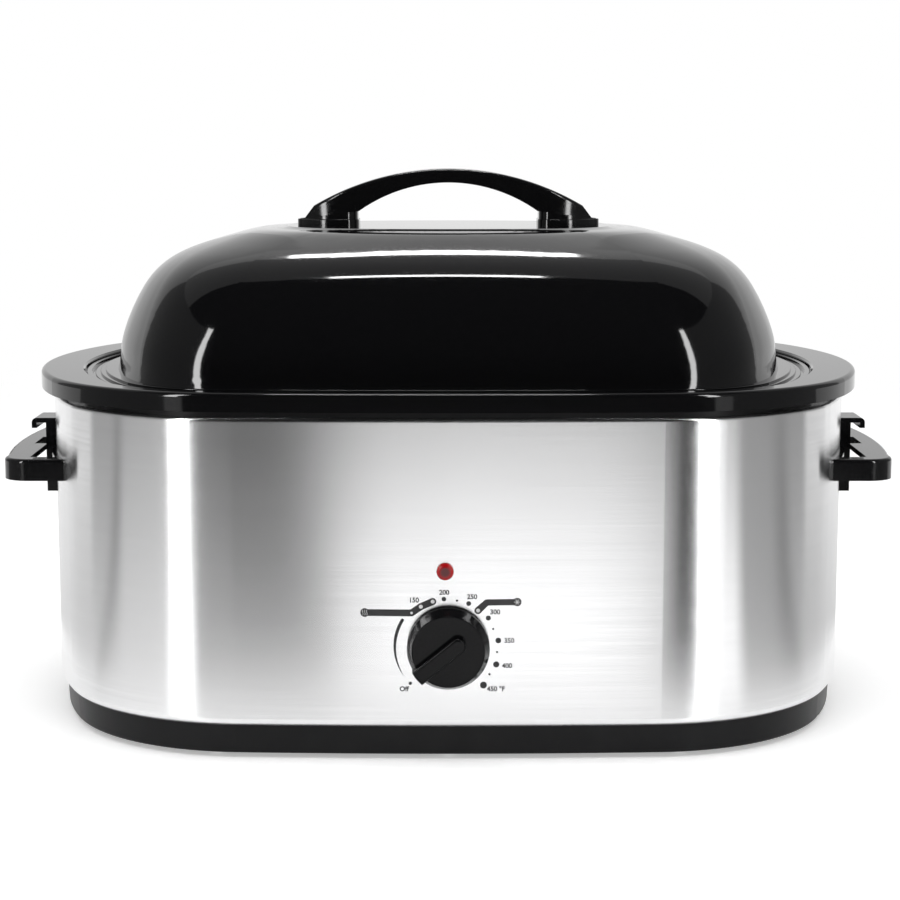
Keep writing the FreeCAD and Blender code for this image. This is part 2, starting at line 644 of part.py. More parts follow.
def make_knob_clip():
    outer = SHAFT_RADIUS + SHAFT_GAP + KNOB_CLIP_SHEET
    length = SHAFT_REACH - KNOB_GAP - KNOB_POCKET_DEPTH
    start = Vector(0, SHELL_FRONT - SHAFT_REACH, CONTROL_Z)
    clip = cylinder(outer, start, Y_AXIS, length)
    clip = clip.cut(cylinder(SHAFT_RADIUS + SHAFT_GAP, start, Y_AXIS, length))
    slot = box(-LAMP_RADIUS / 4, LAMP_RADIUS / 4, start.y, start.y + length, -outer - CUT_OVER, 0)
    slot.translate(Vector(0, 0, CONTROL_Z))
    clip = clip.cut(slot)
    clip.rotate(Vector(0, 0, CONTROL_Z), Y_AXIS, OFF_ANGLE)
    return one(clip)


def make_lens():
    head = cylinder(LENS_RADIUS, Vector(LAMP_X, SHELL_FRONT, LAMP_Z), -Y_AXIS, LENS_REACH)
    tip = SHELL_FRONT - LENS_REACH
    head = head.makeFillet(LENS_ROUND, [e for e in head.Edges if abs(e.BoundBox.YMax - tip) < EDGE_TOLERANCE])
    start = Vector(LAMP_X, SHELL_FRONT - LAMP_SINK, LAMP_Z)
    body = cylinder(LENS_BODY_RADIUS, start, Y_AXIS, LENS_BODY_DEPTH + LAMP_SINK)
    bore = cylinder(LAMP_RADIUS + SEAT_GAP, start, Y_AXIS, LENS_BODY_DEPTH + LAMP_SINK)
    return one(head.fuse(body).cut(bore))


def make_lamp():
    return cylinder(LAMP_RADIUS, Vector(LAMP_X, SHELL_FRONT - LAMP_SINK + SEAT_GAP, LAMP_Z), Y_AXIS, LAMP_DEPTH)


def make_lamp_clip():
    start = Vector(LAMP_X, panel_back() + SEAT_GAP, LAMP_Z)
    clip = cylinder(CLIP_RADIUS, start, Y_AXIS, CLIP_SHEET)
    return one(clip.cut(cylinder(LENS_BODY_RADIUS + SHAFT_GAP, start, Y_AXIS, CLIP_SHEET)))


def make_lamp_leads():
    top = LAMP_Z - LAMP_RADIUS
    low = CONTROL_Z + THERMOSTAT_HALF
    y = SHELL_FRONT - LAMP_SINK + LAMP_DEPTH - LAMP_LEAD_RADIUS
    body = make_lamp()
    leads = []
    for side in (-1, 1):
        start = Vector(LAMP_X + side * LAMP_LEAD_HALF_GAP, y, low)
        wire = cylinder(LAMP_LEAD_RADIUS, start, Z_AXIS, top + LAMP_RADIUS - low)
        leads.append(one(wire.cut(body)))
    return Part.makeCompound(leads)


def well_body():
    return basin(WELL, -SHEET, WELL_FLOOR, LEDGE, WELL_ROUND)


def bulb_y():
    return -front_arc_y(WELL, wall_inset(BULB_Z) - SHEET, BULB_START_X) - BULB_RADIUS - LOOSE_GAP


def make_bulb():
    bulb = cylinder(BULB_RADIUS, Vector(BULB_START_X, bulb_y(), BULB_Z), X_AXIS, BULB_LENGTH)
    return bulb.makeFillet(BULB_RADIUS / 2, [e for e in bulb.Edges if e.BoundBox.XLength < EDGE_TOLERANCE])


def make_capillary():
    y = panel_back() + THERMOSTAT_DEPTH / 2
    z = CONTROL_Z + THERMOSTAT_HALF / 2
    turn_x = (THERMOSTAT_HALF + BULB_START_X) / 2
    points = [(THERMOSTAT_HALF, y, z), (turn_x, y, z), (turn_x + CAPILLARY_BEND * 2, bulb_y(), BULB_Z),
              (BULB_START_X, bulb_y(), BULB_Z)]
    return one(bent_tube(points, CAPILLARY_RADIUS, CAPILLARY_BEND))


def make_bulb_clip():
    reach = BULB_RADIUS + CLIP_WALL
    x0 = BULB_START_X + BULB_LENGTH / 4
    y = bulb_y()
    clip = box(x0, x0 + CLIP_WIDTH, y - reach, y + reach + BULB_RADIUS, BULB_Z - reach, BULB_Z + reach)
    clip = clip.cut(cylinder(BULB_RADIUS + SHAFT_GAP, Vector(x0, y, BULB_Z), X_AXIS, CLIP_WIDTH))
    return one(clip.cut(well_body()))


def make_thermal_fuse():
    z = WELL_FLOOR - FUSE_RADIUS - SEAT_GAP
    return cylinder(FUSE_RADIUS, Vector(FUSE_X - FUSE_LENGTH / 2, 0, z), X_AXIS, FUSE_LENGTH)


def make_fuse_clip():
    z = WELL_FLOOR - FUSE_RADIUS - SEAT_GAP
    half = CLIP_WIDTH / 2
    reach = FUSE_RADIUS + CLIP_WALL
    clip = box(FUSE_X - half, FUSE_X + half, -reach, reach, z - reach, WELL_FLOOR)
    slot = cylinder(FUSE_RADIUS + SHAFT_GAP, Vector(FUSE_X - half, 0, z), X_AXIS, CLIP_WIDTH)
    return one(clip.cut(slot))


def make_terminal_block():
    half = BLOCK_WIDTH / 2
    deep = BLOCK_DEPTH / 2
    block = box(BLOCK_X - half, BLOCK_X + half, BLOCK_Y - deep, BLOCK_Y + deep, PLATE_TOP, BLOCK_TOP)
    for x in (BLOCK_X - half / 2, BLOCK_X + half / 2):
        low = BLOCK_TOP - BLOCK_HEIGHT / 4
        block = block.cut(box(x - BLOCK_SLOT, x + BLOCK_SLOT, BLOCK_Y - deep, BLOCK_Y + deep, low, BLOCK_TOP))
    return one(block)


def make_heater_lead(x):
    y = tab_y(x)
    level = HEATER_LEAD_LEVEL
    points = [(x, y, BAND_BOTTOM - TAB_DROP), (x, y, level), (x, BLOCK_Y, level), (x, BLOCK_Y, BLOCK_TOP)]
    return one(bent_tube(points, LEAD_RADIUS, LEAD_BEND - LEAD_RADIUS))


def make_control_lead(side, end_x):
    x = side * CONTROL_LEAD_START
    y = control_lead_y()
    low = CONTROL_LEAD_LEVEL
    points = [(x, y, CONTROL_Z - THERMOSTAT_HALF), (x, y, low), (end_x, y + CONTROL_LEAD_SLANT, low),
              (end_x, BLOCK_Y - BLOCK_DEPTH / 2, low)]
    return one(bent_tube(points, LEAD_RADIUS, LEAD_BEND))


def make_cord_gland():
    y = -SHELL_FRONT
    flange = cylinder(GLAND_FLANGE_RADIUS, Vector(GLAND_X, y, GLAND_Z), Y_AXIS, GLAND_FLANGE)
    deep = GLAND_NUT + SHELL_SHEET * 2
    body = cylinder(GLAND_RADIUS, Vector(GLAND_X, y - deep, GLAND_Z), Y_AXIS, deep)
    tip = Vector(GLAND_X, y + GLAND_FLANGE, GLAND_Z)
    nose = Part.makeCone(GLAND_RADIUS, GLAND_BORE_RADIUS + GLAND_WALL, GLAND_FLANGE * 2, tip, Y_AXIS)
    bore = cylinder(GLAND_BORE_RADIUS, Vector(GLAND_X, y - GLAND_RADIUS * 2, GLAND_Z), Y_AXIS, GLAND_RADIUS * 4)
    return one(flange.fuse(body).fuse(nose).cut(bore).cut(shell_wall_slab()))


def shell_wall_slab():
    """Thin skin just outside the shell's outer face, to keep flanges off the bowed back."""
    skin = prism(RIM, SHELL_INSET - SEAT_GAP, BASE_TOP, SHELL_TOP)
    skin = skin.cut(prism(RIM, SHELL_INSET + SHELL_SHEET + SEAT_GAP, BASE_TOP, SHELL_TOP))
    hole = cylinder(GLAND_RADIUS, Vector(GLAND_X, 0, GLAND_Z), Y_AXIS, RIM[1])
    return skin.cut(hole)


def make_gland_nut():
    start = Vector(GLAND_X, -SHELL_FRONT - SHELL_SHEET - GLAND_NUT, GLAND_Z)
    nut = cylinder(GLAND_NUT_RADIUS, start, Y_AXIS, GLAND_NUT)
    nut = nut.cut(cylinder(GLAND_RADIUS + SHAFT_GAP, start, Y_AXIS, GLAND_NUT))
    return one(nut.cut(shell_wall_slab()))


def side_plan(inset, z):
    """Outline of the right side handle's bar and arms, drawn in by inset."""
    reach = Vector(SIDE_REACH - inset, 0, z)
    shoulder = Vector(SIDE_SHOULDER_X - inset, SIDE_SHOULDER_Y, z)
    end_y = SIDE_HALF_LENGTH - inset
    turn = Vector(SIDE_INNER_X + inset / 2, end_y, z)
    knee = Vector((shoulder.x + turn.x) / 2 + SIDE_KNEE_X, (shoulder.y + end_y) / 2 + SIDE_KNEE_Y, z)
    root = Vector(SHELL_SIDE - SIDE_HALF_LENGTH / 2, end_y, z)
    low = [Vector(p.x, -p.y, z) for p in (shoulder, knee, turn, root)]
    edges = [Part.Arc(low[0], reach, shoulder).toShape(), Part.Arc(shoulder, knee, turn).toShape(),
             Part.LineSegment(turn, root).toShape(), Part.LineSegment(root, low[3]).toShape(),
             Part.LineSegment(low[3], low[2]).toShape(), Part.Arc(low[2], low[1], low[0]).toShape()]
    return Part.Face(Part.Wire(edges))


def make_side_handle():
    low = SIDE_TOP - SIDE_HEIGHT
    bar = side_plan(0.0, low).extrude(Vector(0, 0, SIDE_HEIGHT))
    bar = round_level(bar, SIDE_ROUND, SIDE_TOP)
    span = SIDE_HALF_LENGTH - SIDE_ARM
    plate = prism(RIM, SHELL_INSET - SIDE_PLATE, low, SIDE_TOP)
    gap = box(SHELL_SIDE - SIDE_HALF_LENGTH / 2, SIDE_INNER_X, -span, span, low, SIDE_TOP).cut(plate)
    bar = bar.cut(gap)
    under = side_plan(SIDE_SKIRT, low).extrude(Vector(0, 0, SIDE_HEIGHT - SIDE_SHELF))
    bar = bar.cut(under.common(box(SIDE_INNER_X, SIDE_REACH, -span, span, low, SIDE_TOP)))
    bar = bar.cut(box(SIDE_INNER_X, NOTCH_X, -NOTCH_HALF, NOTCH_HALF, low, SIDE_TOP))
    block = box(SHELL_SIDE - SIDE_ARM, BLOCK_FACE_X, -BLOCK_HALF, BLOCK_HALF, BLOCK_BOTTOM, HOOK_TOP)
    hook = box(SHELL_SIDE, HOOK_REACH, -BLOCK_HALF, BLOCK_HALF, HOOK_TOP - HOOK_TIP_DROP, HOOK_TOP)
    hook = hook.makeFillet(HOOK_SHEET, [e for e in hook.Edges if abs(e.BoundBox.XMin - HOOK_REACH) < EDGE_TOLERANCE
                                        and abs(e.BoundBox.ZMin - HOOK_TOP) < EDGE_TOLERANCE])
    hook = hook.cut(box(BLOCK_FACE_X, HOOK_REACH - HOOK_SHEET, -BLOCK_HALF, BLOCK_HALF, 0, HOOK_TOP - HOOK_SHEET))
    handle = bar.fuse(block).fuse(hook)
    handle = handle.cut(prism(RIM, SHELL_INSET - SEAT_GAP, BASE_TOP, SHELL_TOP))
    for height in SIDE_SCREW_HEIGHTS:
        start = Vector(SHELL_SIDE, 0, height)
        handle = handle.cut(cylinder(SIDE_SCREW_RADIUS + SHAFT_GAP, start, X_AXIS, SIDE_SCREW_LENGTH))
    return one(handle)


def make_side_screws():
    screws = []
    for height in SIDE_SCREW_HEIGHTS:
        seat = SHELL_SIDE - SHELL_SHEET - SEAT_GAP
        start = Vector(seat - SIDE_SCREW_HEAD_HEIGHT, 0, height)
        head = cylinder(SIDE_SCREW_HEAD_RADIUS, start, X_AXIS, SIDE_SCREW_HEAD_HEIGHT)
        shank = cylinder(SIDE_SCREW_RADIUS, Vector(seat - SHEET, 0, height), X_AXIS, SIDE_SCREW_LENGTH)
        screw = one(head.fuse(shank))
        screws.append(screw)
        screws.append(mirrored_x(screw))
    return Part.makeCompound(screws)


def blend_plan(share):
    """Plan outline between the dome's foot and its flat top; the front arc's curvature is what blends."""
    sizes = [a + (b - a) * share for a, b in zip(DOME[:4], PAD[:4])]
    return (*sizes, 1 / (1 / DOME[4] + (1 / PAD[4] - 1 / DOME[4]) * share))


def dome_solid(inset, drop):
    foot = LEDGE + SHEET + (LID_STEPS - 1) * LID_STEP_RISE
    height = PAD_TOP - foot
    wires = [outline(blend_plan(inward), inset, foot + height * up - drop) for inward, up in DOME_RISE]
    return Part.makeLoft(wires, True, False)


def lid_step(index):
    """Outer inset from the mouth and top height of a step of the lid's flange."""
    return LID_EDGE_GAP + index * LID_STEP, LEDGE + SHEET + SHEET + index * LID_STEP_RISE


def make_lid_dome():
    bottom = LEDGE + SHEET
    lid = None
    for index in range(LID_STEPS):
        inset, top = lid_step(index)
        step = round_level(prism(MOUTH, inset, bottom, top), LID_STEP_ROUND, top)
        lid = step if lid is None else lid.fuse(step)
    inset, top = lid_step(1)
    lid = lid.cut(prism(MOUTH, inset + SHEET, bottom, top - SHEET))
    foot = LEDGE + SHEET + (LID_STEPS - 1) * LID_STEP_RISE
    lip = prism(DOME, 0.0, bottom - LID_LIP_DROP, foot)
    outer = dome_solid(0.0, 0.0).fuse(lip)
    inner = dome_solid(DOME_SHEET, DOME_SHEET)
    inner = inner.fuse(prism(DOME, DOME_SHEET, bottom - LID_LIP_DROP, foot - DOME_SHEET))
    lid = lid.fuse(outer).cut(inner)
    for side in (-1, 1):
        start = Vector(side * LID_SCREW_X, 0, PAD_TOP - 2 * DOME_SHEET)
        lid = lid.cut(cylinder(LID_SCREW_RADIUS + SHAFT_GAP, start, Z_AXIS, 4 * DOME_SHEET))
    return one(lid)


def arch_z(x, top, radius):
    return top - radius + math.sqrt(radius * radius - x * x)


def collar_top(x):
    """Height of a collar's sloping top at x: highest at the heel."""
    share = (COLLAR_TIP_X - abs(x)) / (COLLAR_TIP_X - COLLAR_HEEL_X)
    return PAD_TOP + COLLAR_BASE + COLLAR_HEEL_RISE * share


def drop_plan(heel, tip, half, z):
    """Teardrop outline: wide at the heel, narrow and round at the tip."""
    round_r = half / 2
    cut_in = round_r * (1 - math.sqrt(2) / 2)
    side = Vector(heel, half - round_r, z)
    corner = Vector(heel + cut_in, half - cut_in, z)
    wide = Vector(heel + round_r, half, z)
    bow = Vector(heel + (tip - heel) * DROP_BOW_ALONG, half * DROP_BOW_WIDTH, z)
    end = Vector(tip - half * DROP_NOSE_BACK, half * DROP_NOSE_WIDTH, z)
    point = Vector(tip, 0, z)
    low = [Vector(p.x, -p.y, z) for p in (side, corner, wide, bow, end)]
    edges = [Part.LineSegment(low[0], side).toShape(), Part.Arc(side, corner, wide).toShape(),
             Part.Arc(wide, bow, end).toShape(), Part.Arc(end, point, low[4]).toShape(),
             Part.Arc(low[4], low[3], low[2]).toShape(), Part.Arc(low[2], low[1], low[0]).toShape()]
    return Part.Face(Part.Wire(edges))


def slope_block():
    """Everything under the collars' sloping top, on the right."""
    heel = COLLAR_HEEL_X - CUT_OVER
    tip = COLLAR_TIP_X + CUT_OVER
    tops = [(tip, collar_top(tip)), (heel, collar_top(heel))]
    corners = [Vector(x, -RIM[1], z) for x, z in [(heel, 0), (tip, 0)] + tops]
    return Part.Face(Part.makePolygon(corners + corners[:1])).extrude(Vector(0, 2 * RIM[1], 0))


def make_collar():
    height = COLLAR_BASE + COLLAR_HEEL_RISE + CUT_OVER
    base = drop_plan(COLLAR_HEEL_X, COLLAR_TIP_X, COLLAR_HALF_WIDTH, PAD_TOP).extrude(Vector(0, 0, COLLAR_BASE))
    base = base.makeFillet(COLLAR_ROUND, level_edges(base, PAD_TOP + COLLAR_BASE))
    inset = COLLAR_TOP_INSET
    top = drop_plan(COLLAR_HEEL_X + inset / 2, COLLAR_TIP_X - inset, COLLAR_HALF_WIDTH - inset, PAD_TOP)
    top = top.extrude(Vector(0, 0, height))
    collar = base.fuse(top.common(slope_block()))
    start = Vector(LID_SCREW_X, 0, PAD_TOP)
    return one(collar.cut(cylinder(LID_SCREW_RADIUS + SHAFT_GAP, start, Z_AXIS, height)))


def make_lid_handle():
    toe_z = PAD_TOP
    toe = HANDLE_TOE_X
    heel = HANDLE_HEEL_X
    shoulder = toe - HANDLE_TOE_SLOPE
    outer = [Vector(-shoulder, 0, arch_z(shoulder, ARCH_TOP, ARCH_RADIUS)), Vector(0, 0, ARCH_TOP),
             Vector(shoulder, 0, arch_z(shoulder, ARCH_TOP, ARCH_RADIUS))]
    under = [Vector(heel, 0, arch_z(heel, ARCH_UNDER_TOP, ARCH_UNDER_RADIUS)), Vector(0, 0, ARCH_UNDER_TOP),
             Vector(-heel, 0, arch_z(heel, ARCH_UNDER_TOP, ARCH_UNDER_RADIUS))]
    toes = [Vector(toe, 0, toe_z), Vector(heel, 0, toe_z)]
    edges = [Part.Arc(*outer).toShape(), Part.LineSegment(outer[2], toes[0]).toShape(),
             Part.LineSegment(toes[0], toes[1]).toShape(), Part.LineSegment(toes[1], under[0]).toShape(),
             Part.Arc(*under).toShape()]
    left = [Vector(-p.x, 0, p.z) for p in toes]
    edges += [Part.LineSegment(under[2], left[1]).toShape(), Part.LineSegment(left[1], left[0]).toShape(),
              Part.LineSegment(left[0], outer[0]).toShape()]
    wide = HANDLE_FOOT_HALF_WIDTH + CUT_OVER
    arch = Part.Face(Part.Wire(edges)).extrude(Vector(0, 2 * wide, 0))
    arch.translate(Vector(0, -wide, 0))
    arch = arch.common(handle_plan().extrude(Vector(0, 0, ARCH_TOP)))
    long = HANDLE_ROUND * 4
    long_edges = [e for e in arch.Edges if e.BoundBox.XLength > long and e.BoundBox.ZMin > toe_z + long]
    arch = arch.makeFillet(HANDLE_ROUND, long_edges)
    for side in (slope_block(), mirrored_x(slope_block())):
        arch = arch.cut(side)
    for x in (-LID_SCREW_X, LID_SCREW_X):
        start = Vector(x, 0, PAD_TOP)
        arch = arch.cut(cylinder(LID_SCREW_RADIUS + SHAFT_GAP, start, Z_AXIS, LID_SCREW_REACH + SEAT_GAP))
    return one(arch)


def handle_plan():
    """Plan shape of the lid handle: slim in the middle, wider at the feet, pointed at the toes."""
    slim = HANDLE_HALF_WIDTH
    wide = HANDLE_FOOT_HALF_WIDTH
    heel = HANDLE_HEEL_X
    toe = HANDLE_TOE_X
    corner = Vector(toe - HANDLE_TOE_ROUND, HANDLE_TOE_HALF_WIDTH, 0)
    bow = Vector((heel + toe) / 2, HANDLE_BOW_HALF_WIDTH, 0)
    right = [Vector(0, slim, 0), Vector(heel, wide, 0), bow, corner, Vector(toe, 0, 0)]
    back = [Vector(-p.x, p.y, 0) for p in reversed(right[1:])] + right
    front = [Vector(p.x, -p.y, 0) for p in reversed(back[1:-1])]
    ring = back[1:] + front + back[:2]
    arcs = [Part.Arc(*ring[i:i + 3]).toShape() for i in range(0, len(ring) - 1, 2)]
    return Part.Face(Part.Wire(arcs))


def make_lid_screws():
    seat = PAD_TOP - DOME_SHEET - SEAT_GAP - LID_WASHER_SHEET
    screws = []
    for x in (-LID_SCREW_X, LID_SCREW_X):
        start = Vector(x, 0, seat - LID_SCREW_HEAD_HEIGHT)
        head = cylinder(LID_SCREW_HEAD_RADIUS, start, Z_AXIS, LID_SCREW_HEAD_HEIGHT)
        low = seat - LID_SCREW_HEAD_HEIGHT / 2
        shank = cylinder(LID_SCREW_RADIUS, Vector(x, 0, low), Z_AXIS, PAD_TOP + LID_SCREW_REACH - low)
        screws.append(one(head.fuse(shank)))
    return Part.makeCompound(screws)


def make_lid_washers():
    seat = PAD_TOP - DOME_SHEET - SEAT_GAP - LID_WASHER_SHEET
    washers = []
    for x in (-LID_SCREW_X, LID_SCREW_X):
        start = Vector(x, 0, seat)
        ring = cylinder(LID_WASHER_RADIUS, start, Z_AXIS, LID_WASHER_SHEET)
        hole = cylinder(LID_SCREW_RADIUS + SHAFT_GAP, start, Z_AXIS, LID_WASHER_SHEET)
        washers.append(one(ring.cut(hole)))
    return Part.makeCompound(washers)


def make_pan():
    top = LEDGE + SHEET
    pan = prism(MOUTH, PAN_RIM_GAP, LEDGE, top)
    bead = prism(MOUTH, PAN_RIM_GAP, LEDGE, top + PAN_BEAD_HEIGHT)
    bead = round_level(bead, PAN_BEAD_ROUND, top + PAN_BEAD_HEIGHT)
    bead = bead.cut(prism(MOUTH, PAN_RIM_GAP + PAN_BEAD_WIDTH, LEDGE, top + PAN_BEAD_HEIGHT))
    pan = pan.fuse(bead).fuse(basin(WELL, PAN_GAP, PAN_FLOOR, LEDGE + SHEET / 2, WELL_ROUND))
    inside = basin(WELL, PAN_GAP + SHEET, PAN_FLOOR + SHEET, top, WELL_ROUND - SHEET)
    return one(pan.cut(inside))


def make_rack():
    floor = PAN_FLOOR + SHEET
    z = floor + RACK_HEIGHT
    frame = outline(WELL, RACK_INSET, z)
    first = frame.Edges[0]
    start = first.valueAt(first.FirstParameter)
    ring = Part.Wire(Part.Circle(start, first.tangentAt(first.FirstParameter), RACK_FRAME_RADIUS).toShape())
    rack = frame.makePipeShell([ring], True, False)
    half_w = WELL[0] - RACK_INSET
    half_d = WELL[1] - RACK_INSET
    step = 2 * (half_w - RACK_INSET) / (RACK_WIRES - 1)
    for i in range(RACK_WIRES):
        x = (i - (RACK_WIRES - 1) / 2) * step
        reach = corner_y(WELL, RACK_INSET, x)
        start = Vector(x, -reach, z + RACK_FRAME_RADIUS / 2)
        rack = rack.fuse(cylinder(RACK_WIRE_RADIUS, start, Y_AXIS, 2 * reach))
    for y in (-half_d / 2, half_d / 2):
        reach = end_x(WELL, RACK_INSET, y)
        start = Vector(-reach, y, z - RACK_FRAME_RADIUS / 2)
        rack = rack.fuse(cylinder(RACK_WIRE_RADIUS, start, X_AXIS, 2 * reach))
    for y in (-half_d / 2, half_d / 2):
        for x in (-half_w / 2, half_w / 2):
            rack = rack.fuse(cylinder(RACK_FRAME_RADIUS, Vector(x, y, floor), Z_AXIS, RACK_HEIGHT))
    for side in (-1, 1):
        x = side * end_x(WELL, RACK_INSET, RACK_LOOP_HALF)
        half = RACK_LOOP_HALF
        corners = ((-half, z), (-half, RACK_LOOP_TOP), (half, RACK_LOOP_TOP), (half, z))
        points = [(x, y, level) for y, level in corners]
        rack = rack.fuse(bent_tube(points, RACK_LOOP_RADIUS, RACK_LOOP_BEND))
    return one(rack)


def end_x(plan, inset, y):
    """Half width of a plan at y, on its end arc."""
    radius = plan[2] - inset
    return plan[0] - plan[2] + math.sqrt(radius * radius - y * y)


def corner_y(plan, inset, x):
    """Half depth of a plan at x, on its front arc or its corner arc."""
    cx, cy = corner_centre(plan)
    second = quarter(plan, inset)[3]
    if abs(x) <= second[0]:
        return front_arc_y(plan, inset, x)
    radius = plan[3] - inset
    return cy + math.sqrt(radius * radius - (abs(x) - cx) ** 2)


def build_nodes():
    handle = make_side_handle()
    collar = make_collar()
    nodes = {
        "cooking_well": make_cooking_well(),
        "body_shell": make_body_shell(),
        "rim_spacer_ring": make_rim_spacer(),
        "base_ring": make_base_ring(),
        "base_plate": make_base_plate(),
        "base_screws": make_base_screws(),
        "centre_stud": make_centre_stud(),
        "centre_stud_nut": make_stud_nut(),
        "centre_stud_spacer": make_stud_spacer(),
        "heat_shield": make_heat_shield(),
        "heating_band": make_heating_band(),
        "insulation_blanket": make_insulation(),
        "thermostat_body": make_thermostat(),
        "thermostat_bush_nut": make_bush_nut(),
        "thermostat_bulb": make_bulb(),
        "thermostat_capillary": make_capillary(),
        "bulb_clip": make_bulb_clip(),
        "thermal_fuse": make_thermal_fuse(),
        "fuse_clip": make_fuse_clip(),
        "terminal_block": make_terminal_block(),
        "heater_lead_live": make_heater_lead(TAB_X[0]),
        "heater_lead_neutral": make_heater_lead(TAB_X[1]),
        "control_lead_live": make_control_lead(1, CONTROL_LEAD_ENDS[0]),
        "control_lead_neutral": make_control_lead(-1, CONTROL_LEAD_ENDS[1]),
        "cord_gland": make_cord_gland(),
        "cord_gland_nut": make_gland_nut(),
        "indicator_lens": make_lens(),
        "indicator_lamp": make_lamp(),
        "indicator_clip": make_lamp_clip(),
        "indicator_leads": make_lamp_leads(),
        "side_handle_right": handle,
        "side_handle_left": mirrored_x(handle),
        "side_handle_screws": make_side_screws(),
        "knob": make_knob(),
        "knob_clip": make_knob_clip(),
        "thermostat_shaft": make_shaft(),
        "lid_dome": make_lid_dome(),
        "lid_handle": make_lid_handle(),
        "lid_handle_collar_right": collar,
        "lid_handle_collar_left": mirrored_x(collar),
        "lid_handle_screws": make_lid_screws(),
        "lid_handle_washers": make_lid_washers(),
        "roasting_pan": make_pan(),
        "roasting_rack": make_rack(),
    }
    names = ("foot_front_left", "foot_front_right", "foot_back_left", "foot_back_right")
    for name, (x, y) in zip(names, foot_spots()):
        nodes[name] = make_foot(x, y)
    return nodes


def main():
    os.makedirs("parts", exist_ok=True)
    for name, shape in build_nodes().items():
        print(name, len(shape.Solids), round(shape.Volume, 1), shape.isValid())
        shape.exportStep("parts/" + name + ".step")


main()
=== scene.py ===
import bpy
import json
import math
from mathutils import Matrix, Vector


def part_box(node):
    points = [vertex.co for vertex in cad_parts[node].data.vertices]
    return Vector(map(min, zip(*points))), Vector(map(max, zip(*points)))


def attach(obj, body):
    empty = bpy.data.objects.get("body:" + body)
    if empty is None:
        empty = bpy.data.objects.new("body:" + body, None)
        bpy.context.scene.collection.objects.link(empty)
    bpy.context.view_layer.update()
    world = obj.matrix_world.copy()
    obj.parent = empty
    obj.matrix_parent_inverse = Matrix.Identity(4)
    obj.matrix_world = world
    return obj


# Looks of an electric roaster oven, in metres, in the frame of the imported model.

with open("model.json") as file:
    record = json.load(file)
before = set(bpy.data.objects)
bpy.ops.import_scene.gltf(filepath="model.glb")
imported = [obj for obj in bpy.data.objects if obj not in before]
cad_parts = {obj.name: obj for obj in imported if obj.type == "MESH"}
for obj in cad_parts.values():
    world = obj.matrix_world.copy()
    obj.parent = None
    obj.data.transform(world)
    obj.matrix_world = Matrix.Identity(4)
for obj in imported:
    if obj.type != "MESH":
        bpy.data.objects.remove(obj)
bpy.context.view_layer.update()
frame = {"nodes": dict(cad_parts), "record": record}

# Camera at the photograph's viewing angle: metres, radians, and millimetres for the lens and sensor
CAMERA_DISTANCE = 1.5305
CAMERA_HEIGHT = 0.400
CAMERA_PITCH = 0.147
CAMERA_LENS = 86.38
CAMERA_SENSOR = 36.0
CAMERA_SHIFT = 0.0019

# Front face of the shell: one wide arc, with its half depth and radius
FACE_DEPTH = 0.19116
FACE_RADIUS = 2.64116
PRINT_LIFT = 0.00008
WHITE_LIFT = 0.00014
MM = 0.001

# Dial marks in millimetres right of and above the knob's axis: x, z, radius
KNOB_Z = 0.075
ROUND_SIDES = 40
DOTS = ((-2.8, 31.2, 1.45), (12.9, 28.3, 1.5), (25.4, 18.9, 1.6), (31.8, 4.3, 1.8), (30.5, -11.3, 1.95),
        (22.4, -24.8, 2.2), (5.5, 30.2, 0.75), (28.5, 11.8, 0.65), (31.0, -3.2, 0.65), (26.2, -17.7, 0.7),
        (-24.2, -23.6, 1.1))
WARM_BAR = ((-53.0, 22.4, 2.8), (-52.0, 22.4, 2.15), (-23.3, 22.2, 2.2), (-17.4, 26.3, 2.2),
            (-9.9, 29.6, 2.3))
DEFROST_BAR = ((18.9, 23.8, 2.3), (24.4, 29.0, 2.0), (42.6, 29.2, 2.0), (43.7, 29.2, 2.7))
WHITE_DOTS = ((-23.3, 22.2, 0.85), (-17.4, 26.3, 1.25), (-9.9, 29.6, 1.25), (18.9, 23.8, 1.25))
CRESCENT_RADIUS = 34.0
CRESCENT_ANGLES = (-59.0, -125.0)
CRESCENT_WIDTH = 2.1
CRESCENT_STEPS = 32
FLAKE = (43.7, 29.2, 1.9)
FLAKE_ARMS = 6
WAVES = (-54.3, -53.0, -51.7)
WAVE_HEIGHT = 3.2
WAVE_SWING = 0.25
WAVE_STEPS = 12
STROKE = 0.22
LABELS = (("150", -21.8, 30.4), ("200", -2.6, 35.4), ("250", 15.1, 32.6), ("300", 29.7, 22.7),
          ("350", 38.7, 4.1), ("400", 37.4, -12.3), ("450 °F", 30.4, -27.4), ("Off", -28.2, -27.4))
LABEL_SIZE = 4.3
LABEL_BOLD = 0.13
LABEL_CURVE_STEPS = 6

# Surface textures: noise scales per metre, and bump distances in metres
BRUSH_TURN = 0.25
BRUSH_DEPTH = 0.000006
BRUSH_STRENGTH = 0.5
EVEN = (1.0, 1.0, 1.0)
MOTTLE_SCALE = 14.0
DUST_SCALE = 900.0
GLOSS_BUMP = 0.5
GRAIN_BUMP = 0.6
GRAIN_BROADER = 40.0
WAVE_BANDS = 20.0
WAVE_DISTORTION = 0.6
THREAD_DEPTH = 0.0003
# Lens: painted shade inside the first distance from the dome's centre, painted light on the rim beyond the
# second
LENS_SHADE_CORE = 0.0022
LENS_LIT_EDGE = 0.0040
LENS_GRAIN = 700.0

# Studio: one large soft light, and cards round the object that only show in gloss
KEY_PLACE = (0.0, -0.5, 2.3)
KEY_SIZE = 2.4
KEY_POWER = 30.0
AIM = (0.0, -0.1, 0.2)
FAN_STEP = 3.0
